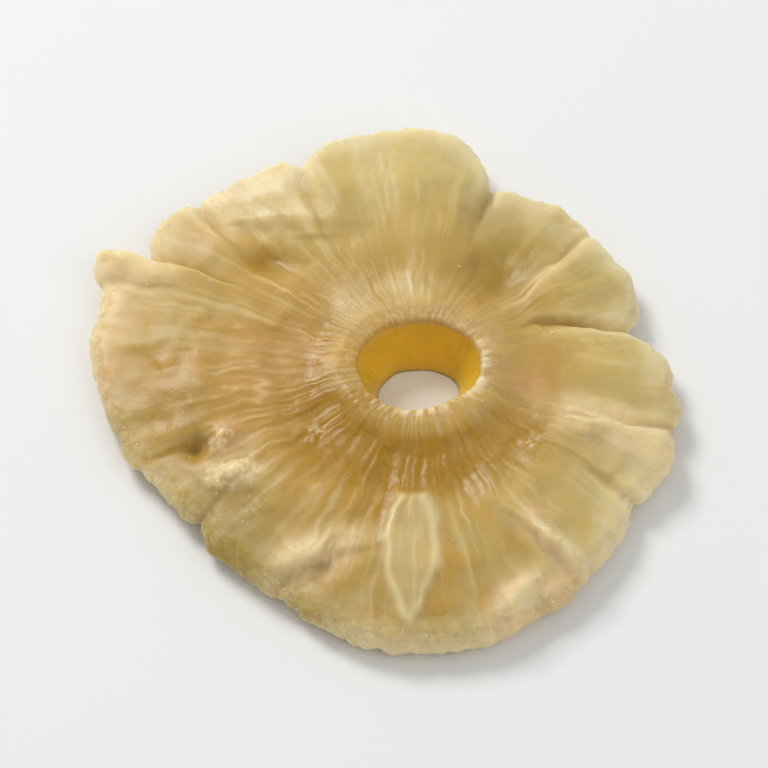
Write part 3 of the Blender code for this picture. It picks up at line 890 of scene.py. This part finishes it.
def fibre_field(surface, fibres):
    turn_x = fibres.per_radian * np.cos(surface.angle)
    turn_y = fibres.per_radian * np.sin(surface.angle)
    along = (surface.distance + surface.height) / fibres.length
    return noise_at(np.stack((turn_x, turn_y, along), axis=-1), 1, fibres.shift)


def ridges(field):
    """Noise turned into narrow ridges, 0.5 along their crests."""
    return 0.5 - np.abs(field)


def showing(field, contrast):
    """How much something shows, from 0 to 1, where noise makes it come and go."""
    return np.clip(0.5 + contrast * field, 0.0, 1.0)


def band_share(surface):
    """1 in the golden band between the collar and the fruitlets, 0 away from it, less on its far side."""
    rise = smooth_step(COLLAR_WIDTH, COLLAR_WIDTH + BAND_LOOK_RISE, surface.past_hole)
    inside, past = BAND_LOOK_FALL
    fall = 1.0 - smooth_step(BAND_END - inside, BAND_END + past, surface.past_hole)
    side = facing(surface.angle, BAND_LOOK_TURN)
    return surface.is_top * rise * fall * (BAND_LOOK_EVENNESS + (1.0 - BAND_LOOK_EVENNESS) * side)


def fibre_push(surface, points, margin):
    """Dents, fibres, puckers, and notches round the hole."""
    top = surface.is_top
    band = band_share(surface)
    wrinkles = top * patch_amount(points, WRINKLES)
    present = showing(noise_field(points, GAPS), GAP_CONTRAST)
    push = DENT_PUSH * noise_field(points, DENTS)
    coarse = FIBRE_PUSH + FIBRE_PUSH_IN_BAND * band
    push = push + coarse * fibre_field(surface, FIBRES) * (1.0 - FIBRE_LOSS_AT_MARGIN * margin)
    fine = (FINE_PUSH + FINE_PUSH_IN_BAND * band + FINE_PUSH_IN_WRINKLES * wrinkles) * present
    push = push + fine * fibre_field(surface, FINE_FIBRES)
    push = push + PUCKER_PUSH * wrinkles * present * ridges(fibre_field(surface, PUCKERS))
    rim = top * bell(surface.past_hole - RIM_MIDDLE, RIM_HALF_WIDTH)
    collar = top * (1.0 - smooth_step(*COLLAR_DETAIL, surface.past_hole))
    notched = NOTCH_PUSH_ON_COLLAR * collar * present + NOTCH_PUSH_ON_RIM * rim
    return push + notched * fibre_field(surface, NOTCHES)


def crumb_push(surface, points):
    """Pores everywhere, and torn, shreddy crumbs on their patches."""
    crumbs = surface.is_top * torn_amount(points)
    pores = noise_field(points, PORES)
    shreds = SHRED_PUSH * ridges(noise_field(points, SHREDS))
    torn = CRUMB_PUSH + PORE_PUSH_IN_CRUMBS * np.abs(pores) + shreds
    return (PORE_PUSH + PORE_PUSH_IN_BAND * band_share(surface)) * pores + crumbs * torn


def underside_grooves(surface):
    """How deep the creases are cut into the underside."""
    gap, nearer_first = crease_gap(surface.columns, surface.distance)
    creased = surface.is_under * crease_presence(surface.columns, surface.past_hole, nearer_first)
    return UNDERSIDE_GROOVE * creased * bell(gap, CREASE_HALF_WIDTH)


def wandering(surface, points):
    """Sideways moves, which die away at the hole and at the margin."""
    inner_calm = smooth_step(*WANDER_PAST_HOLE, surface.past_hole)
    calm = inner_calm * smooth_step(*WANDER_TO_MARGIN, surface.to_margin)
    wander_x = WANDER_REACH * noise_field(points, WANDER_X)
    wander_y = WANDER_REACH * noise_field(points, WANDER_Y)
    return np.stack((wander_x * calm, wander_y * calm, np.zeros_like(calm)), axis=-1)


def add_detail(surface, points):
    """The grid's points with fibres, puckers, pores, crumbs and a ragged margin, never below the table."""
    margin = 1.0 - smooth_step(0.0, RAG_WIDTH, surface.to_margin)
    push = fibre_push(surface, points, margin) + crumb_push(surface, points)
    push = push + RAG_PUSH * margin * noise_field(points, RAGS)
    push = push * (1.0 - UNDERSIDE_LOSS * surface.is_under * (1.0 - margin))
    push = push - underside_grooves(surface)
    moved = points + wandering(surface, points) + grid_normals(points) * push[..., None]
    moved[..., 2] = np.maximum(moved[..., 2], 0.0)
    return moved


def grid_faces(row_count, column_count):
    """Quads between neighbouring rows and columns. Both directions close on themselves."""
    place = np.arange(row_count * column_count).reshape(row_count, column_count)
    below = np.roll(place, -1, axis=0)
    corners = (place, below, np.roll(below, -1, axis=1), np.roll(place, -1, axis=1))
    return np.stack(corners, axis=-1).reshape(-1, 4)


def linear(colour):
    """A shown colour, 0 to 255, as the linear values that shading works in."""
    share = np.array(colour, float) / 255.0
    return np.where(share <= 0.04045, share / 12.92, ((share + 0.055) / 1.055) ** 2.4)


class Texture:
    """Blotches and streaks, which make the colours and their borders uneven."""

    def __init__(self, surface, points):
        self.blotch = noise_field(points, BLOTCHES)
        self.streak = fibre_field(surface, STREAKS)

    def uneven(self, value, by_blotch, by_streak):
        return value + by_blotch * self.blotch + by_streak * self.streak

    def past(self, zone, distance):
        """0 before the zone and 1 past it."""
        return smooth_step(zone.start, zone.end, self.uneven(distance, zone.by_blotch, zone.by_streak))


def broad_layers(surface, texture):
    """Colours that go with the side of the ring and with the distance from the hole and the margin. The
    deeper golden side is partly painted shade.
    """
    golden_and_shaded_side = facing(surface.angle, GOLDEN_AND_SHADE_TURN)
    margin = 1.0 - texture.past(MARGIN_ZONE, surface.to_margin)
    fibres = np.clip(PALE_FIBRE_CONTRAST * fibre_field(surface, PALE_FIBRES) - PALE_FIBRE_GAP, 0.0, 1.0)
    return (
        (FRUITLET_COLOUR, texture.past(FRUITLET_ZONE, surface.past_hole)),
        # deeper golden towards the lower-left side: clearer flesh, and painted shade on that half
        (GOLDEN_AND_SHADE_COLOUR, GOLDEN_AND_SHADE_AMOUNT * texture.past(GOLDEN_AND_SHADE_ZONE, golden_and_shaded_side)),
        (MARGIN_COLOUR, (MARGIN_AMOUNT - MARGIN_GOLDEN_LOSS * golden_and_shaded_side) * margin),
        (PALE_COLOUR, EDGE_AMOUNT * (1.0 - texture.past(EDGE_ZONE, surface.to_margin))),
        (MARGIN_COLOUR, PALE_FIBRE_AMOUNT * fibres * (1.0 - surface.is_wall)),
        (CLEAR_COLOUR, band_share(surface) * texture.uneven(*BAND_LOOK)),
    )


def spot_layers(surface, points, texture):
    """Clear, dusky and flushed spots; some of the clear and dusky ones are painted shade."""
    layers = []
    for patches, colour, unevenness in SPOT_LOOKS:
        spots = surface.shows_top * patch_amount(points, patches)
        layers.append((colour, spots * texture.uneven(*unevenness)))
    return layers


def collar_and_crease_layers(surface, texture):
    """The collar, and each crease as a golden line with a pale edge on both sides. The golden line is
    partly painted shade, stronger where the crease is deeper.
    """
    collar = 1.0 - texture.past(COLLAR_ZONE, surface.past_hole)
    collar_amount = COLLAR_AMOUNT - COLLAR_GOLDEN_LOSS * facing(surface.angle, GOLDEN_AND_SHADE_TURN)
    gap, nearer_first = crease_gap(surface.columns, surface.distance)
    presence = crease_presence(surface.columns, surface.past_hole, nearer_first) * (1.0 - surface.is_wall)
    presence = presence * np.clip(nearer_crease(surface.columns, nearer_first), 0.0, 1.0)
    return (
        (COLLAR_COLOUR, collar_amount * collar),
        (MARGIN_COLOUR, CREASE_AMOUNT * bell(gap - CREASE_SIDE, CREASE_SIDE_HALF_WIDTH) * presence),
        # painted shade along the crease, as strong as the crease is deep
        (CREASE_AND_SHADE_COLOUR, CREASE_AMOUNT * bell(gap, CREASE_LINE_HALF_WIDTH) * presence),
    )


def pocket_layers(surface):
    """The seed pocket's pale outline, and its inside, which is a little paler than the fruitlet."""
    top = surface.shows_top
    pocket, outside = almond_shape(surface.angle, surface.distance)
    inside = 1.0 - smooth_step(-POCKET_FADE, 0.0, outside)
    return (
        (MARGIN_COLOUR, OUTLINE_AMOUNT * top * pocket * bell(outside, OUTLINE_HALF_WIDTH)),
        (MARGIN_COLOUR, POCKET_AMOUNT * top * pocket * inside),
    )


def pale_layers(surface, points, texture):
    """Pale and cream spots, partly painted highlight, pucker crests, torn crumbs, and the dark clefts
    beside them.
    """
    top = surface.shows_top
    threads = THREAD_LEVEL + THREAD_CONTRAST * fibre_field(surface, THREADS)
    threads = np.clip(threads + THREAD_BY_BLOTCH * texture.blotch, 0.0, THREAD_MOST)
    crests = bell(fibre_field(surface, PUCKERS), CREST_HALF_WIDTH) * patch_amount(points, WRINKLES)
    return (
        # pale spots, partly painted highlight on lit crests
        (PALE_COLOUR, PALE_AMOUNT * (top * patch_amount(points, PALE_AND_HIGHLIGHT_SPOTS) * threads)),
        (CREAM_COLOUR, CREST_AMOUNT * top * crests * showing(texture.blotch, CREST_CONTRAST)),
        # cream spots, partly painted highlight on lit edges and crests
        (CREAM_COLOUR, CREAM_AMOUNT * (top * patch_amount(points, CREAM_AND_HIGHLIGHT_SPOTS) * threads)),
        (CREAM_COLOUR, TORN_AMOUNT * top * torn_amount(points)),
        (DARK_COLOUR, DARK_AMOUNT * top * patch_amount(points, DARK_SPOTS)),
    )


def hole_layers(surface):
    """A painted highlight along the hole's toothed upper edge, and its golden wall."""
    top = surface.shows_top
    lit_side = smooth_step(*HIGHLIGHT_RIM_SIDE, facing(surface.angle, HIGHLIGHT_RIM_TURN))
    teeth = showing(fibre_field(surface, TEETH), TEETH_CONTRAST)
    rim = bell(surface.past_hole - HIGHLIGHT_RIM_MIDDLE, RIM_HALF_WIDTH)
    return (
        # painted highlight on the hole's upper edge, brightest on one side
        (PALE_COLOUR, HIGHLIGHT_RIM_AMOUNT * top * lit_side * teeth * rim),
        (WALL_COLOUR, np.maximum(surface.is_wall, UNDERSIDE_WALL_AMOUNT * (1.0 - top))),
    )


def surface_colours(surface, points):
    """Flesh colour at every point as linear light. Each layer is mixed in over the ones before it."""
    texture = Texture(surface, points)
    layers = (
        *broad_layers(surface, texture),
        *spot_layers(surface, points, texture),
        *collar_and_crease_layers(surface, texture),
        *pocket_layers(surface),
        *pale_layers(surface, points, texture),
        *hole_layers(surface),
    )
    colours = np.zeros(points.shape) + linear(INNER_COLOUR)
    for colour, amount in layers:
        colours = colours + (linear(colour) - colours) * np.clip(amount, 0.0, 1.0)[..., None]
    shade = texture.uneven(1.0, SHADE_BY_BLOTCH, SHADE_BY_STREAK)
    return np.minimum(colours * shade[..., None], MOST_REFLECTED)


def frost_amount(surface, points):
    """Where sugar lies, from 0 to 1."""
    margin = bell(surface.to_margin - FROST_MARGIN_MIDDLE, FROST_HALF_WIDTH)
    collar = bell(surface.past_hole - FROST_COLLAR_MIDDLE, FROST_HALF_WIDTH)
    clean = 1.0 - FROST_DUSKY_LOSS * np.clip(patch_amount(points, DUSKY_AND_SHADE_SPOTS), 0.0, 1.0)
    frost = FROST_EVERYWHERE + FROST_ON_MARGIN * margin * clean + FROST_ON_COLLAR * collar
    frost = frost + FROST_ON_CRUMBS * torn_amount(points)
    frost = frost + FROST_ON_PALE * patch_amount(points, PALE_AND_HIGHLIGHT_SPOTS)
    return np.clip(surface.shows_top * frost, 0.0, 1.0)


def wetness_amount(surface, points):
    """Where the flesh is clear and shiny, from 0 to 1."""
    clear = surface.is_top * patch_amount(points, CLEAR_AND_SHADE_SPOTS)
    wettest = np.maximum.reduce((band_share(surface), clear, DAMP_WALL * surface.is_wall))
    blotches = DAMP_CONTRAST * noise_field(points, DAMP_BLOTCHES)
    return np.clip(wettest + DAMP_EVERYWHERE + blotches, 0.0, 1.0)


def new_mesh(name, points, faces):
    mesh = bpy.data.meshes.new(name)
    mesh.from_pydata(points.reshape(-1, 3).tolist(), [], faces.tolist())
    mesh.update()
    piece = bpy.data.objects.new(name, mesh)
    bpy.context.scene.collection.objects.link(piece)
    return piece


def store_colours(mesh, name, colours):
    layer = mesh.color_attributes.new(name, "FLOAT_COLOR", "POINT")
    values = np.ones((len(mesh.vertices), 4), np.float32)
    values[:, :3] = colours.reshape(-1, 3)
    layer.data.foreach_set("color", values.ravel())


def store_amounts(mesh, name, amounts):
    layer = mesh.attributes.new(name, "FLOAT", "POINT")
    layer.data.foreach_set("value", amounts.astype(np.float32).ravel())


def build_flesh(surface, points):
    placed = (points + HOLE_CENTRE) * METRES
    piece = new_mesh("ring_flesh", placed, grid_faces(*points.shape[:2]))
    store_colours(piece.data, "flesh_colour", surface_colours(surface, points))
    store_amounts(piece.data, "frost", frost_amount(surface, points))
    store_amounts(piece.data, "wetness", wetness_amount(surface, points))
    piece.data.shade_smooth()
    return piece


def node(tree, kind, **settings):
    made = tree.nodes.new(kind)
    for name, value in settings.items():
        setattr(made, name, value)
    return made


def set_values(made, values):
    for name, value in values.items():
        made.inputs[name].default_value = value


def new_material(name, values):
    """A material with its node tree and its shader, which has these values."""
    material = bpy.data.materials.new(name)
    material.use_nodes = True
    shader = material.node_tree.nodes["Principled BSDF"]
    set_values(shader, values)
    return material, material.node_tree, shader


def noise_texture(tree, place, scale, detail):
    """A noise texture that is fixed to the object. Its scale is in blobs to a metre."""
    made = node(tree, "ShaderNodeTexNoise")
    set_values(made, {"Scale": scale, "Detail": detail})
    tree.links.new(place.outputs["Object"], made.inputs["Vector"])
    return made


def frosted_colour(tree, place):
    """The flesh's colour with specks of sugar, as dense as the frost is there."""
    link = tree.links.new
    colour = node(tree, "ShaderNodeAttribute", attribute_name="flesh_colour")
    frost = node(tree, "ShaderNodeAttribute", attribute_name="frost")
    speck = noise_texture(tree, place, *FROST_SPECKS)
    cover = node(tree, "ShaderNodeMapRange")
    set_values(cover, FROST_SPECK_EDGE)
    link(speck.outputs["Fac"], cover.inputs["Value"])
    dusted = node(tree, "ShaderNodeMath", operation="MULTIPLY")
    link(cover.outputs["Result"], dusted.inputs[0])
    link(frost.outputs["Fac"], dusted.inputs[1])
    whitened = node(tree, "ShaderNodeMix", data_type="RGBA")
    link(dusted.outputs["Value"], whitened.inputs["Factor"])
    link(colour.outputs["Color"], whitened.inputs["A"])
    set_values(whitened, {"B": (*linear(PALE_COLOUR), 1.0)})
    return whitened.outputs["Result"]


def wet_roughness(tree):
    """Rougher where the flesh is dry, smoother where it is wet."""
    wetness = node(tree, "ShaderNodeAttribute", attribute_name="wetness")
    shine = node(tree, "ShaderNodeMapRange")
    set_values(shine, ROUGHNESS)
    tree.links.new(wetness.outputs["Fac"], shine.inputs["Value"])
    return shine.outputs["Result"]


def grainy_normal(tree, place):
    grain = noise_texture(tree, place, *BUMPS)
    bump = node(tree, "ShaderNodeBump")
    set_values(bump, BUMP_VALUES)
    tree.links.new(grain.outputs["Fac"], bump.inputs["Height"])
    return bump.outputs["Normal"]


def flesh_material():
    material, tree, shader = new_material("flesh", FLESH_SHADER)
    place = node(tree, "ShaderNodeTexCoord")
    tree.links.new(frosted_colour(tree, place), shader.inputs["Base Color"])
    tree.links.new(wet_roughness(tree), shader.inputs["Roughness"])
    tree.links.new(grainy_normal(tree, place), shader.inputs["Normal"])
    return material


def sugar_material():
    material, tree, shader = new_material("sugar", SUGAR_SHADER)
    place = node(tree, "ShaderNodeTexCoord")
    tint = noise_texture(tree, place, *SUGAR_TINTS)
    tinted = node(tree, "ShaderNodeMix", data_type="RGBA")
    set_values(tinted, {"A": (*linear(SUGAR_COLOUR), 1.0), "B": (*linear(MARGIN_COLOUR), 1.0)})
    tree.links.new(tint.outputs["Fac"], tinted.inputs["Factor"])
    tree.links.new(tinted.outputs["Result"], shader.inputs["Base Color"])
    return material


def random_turn(random):
    """A rotation matrix of any direction, from a random unit quaternion."""
    w, x, y, z = random.normal(size=4)
    length = math.sqrt(w * w + x * x + y * y + z * z)
    w, x, y, z = w / length, x / length, y / length, z / length
    return np.array(
        (
            (1 - 2 * (y * y + z * z), 2 * (x * y - z * w), 2 * (x * z + y * w)),
            (2 * (x * y + z * w), 1 - 2 * (x * x + z * z), 2 * (y * z - x * w)),
            (2 * (x * z - y * w), 2 * (y * z + x * w), 1 - 2 * (x * x + y * y)),
        )
    )


def grain_weights(surface, points):
    """How likely a grain is to lie at each point. Grid cells are larger farther out, so count for more."""
    sugared = frost_amount(surface, points) ** GRAIN_FROST_POWER
    bare = 1.0 - GRAIN_PALE_LOSS * np.clip(patch_amount(points, PALE_AND_HIGHLIGHT_SPOTS), 0.0, 1.0)
    weights = (sugared * surface.distance * bare).reshape(-1)
    return weights / weights.sum()


def sugar_grain(random):
    """The corners of one chipped, stretched cube, and its size."""
    smallest, largest = GRAIN_SIZES
    size = smallest + (largest - smallest) * random.random() ** GRAIN_SMALLNESS
    cube = (CUBE_CORNERS + random.normal(scale=GRAIN_CHIPS, size=CUBE_CORNERS.shape)) * size
    return cube * random.uniform(*GRAIN_STRETCH, size=3), size


def build_sugar(surface, points):
    """Small, half-sunk sugar grains, thickest where the frost is."""
    random = np.random.default_rng(SEED)
    spots = points.reshape(-1, 3)
    normals = grid_normals(points).reshape(-1, 3)
    chosen = random.choice(len(spots), GRAIN_COUNT, replace=False, p=grain_weights(surface, points))
    corners = []
    faces = []
    for index, place in enumerate(chosen):
        cube, size = sugar_grain(random)
        middle = spots[place] + normals[place] * size * random.uniform(*GRAIN_LIFT)
        corners.append(cube @ random_turn(random).T + middle)
        faces.append(CUBE_FACES + len(CUBE_CORNERS) * index)
    placed = (np.concatenate(corners) + HOLE_CENTRE) * METRES
    piece = new_mesh("sugar_grains", placed, np.concatenate(faces))
    piece.data.materials.append(sugar_material())
    return piece


def build_floor():
    corners = np.array(((-1.0, -1.0, 0.0), (1.0, -1.0, 0.0), (1.0, 1.0, 0.0), (-1.0, 1.0, 0.0)))
    floor = new_mesh("floor", corners * FLOOR_HALF_WIDTH, np.array(((0, 1, 2, 3),)))
    colour = (*linear(FLOOR_COLOUR), 1.0)
    material, _, _ = new_material("floor", {"Base Color": colour, "Roughness": FLOOR_ROUGHNESS})
    floor.data.materials.append(material)


def build_lamps():
    for name, place, width, power, colour in LAMPS:
        light = bpy.data.lights.new(name, "AREA")
        light.size = width
        light.energy = power
        light.color = colour
        lamp = bpy.data.objects.new(name, light)
        lamp.location = place
        lamp.rotation_euler = (-Vector(place)).to_track_quat("-Z", "Y").to_euler()
        bpy.context.scene.collection.objects.link(lamp)


def build_sky():
    world = bpy.data.worlds.new("studio")
    world.use_nodes = True
    set_values(world.node_tree.nodes["Background"], SKY)
    bpy.context.scene.world = world


def build_camera():
    camera = bpy.data.objects.new("camera", bpy.data.cameras.new("camera"))
    camera.data.lens = CAMERA_LENS
    camera.data.clip_start = CAMERA_NEAREST
    elevation = math.radians(CAMERA_ELEVATION)
    back = Vector((0.0, -math.cos(elevation), math.sin(elevation)))
    target = Vector((0.0, 0.0, CAMERA_TARGET_HEIGHT * METRES))
    camera.location = target + back * CAMERA_DISTANCE
    camera.rotation_euler = (math.radians(90.0 - CAMERA_ELEVATION), 0.0, 0.0)
    bpy.context.scene.collection.objects.link(camera)
    bpy.context.scene.camera = camera
    bpy.context.scene.view_settings.view_transform = "Standard"


surface = Surface()
detailed = add_detail(surface, surface.points())
flesh = build_flesh(surface, detailed)
flesh.data.materials.append(flesh_material())
sugar = build_sugar(surface, detailed)
for piece in (flesh, sugar):
    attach(piece, "root")
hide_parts("pineapple_ring")

build_floor()
build_lamps()
build_sky()
build_camera()
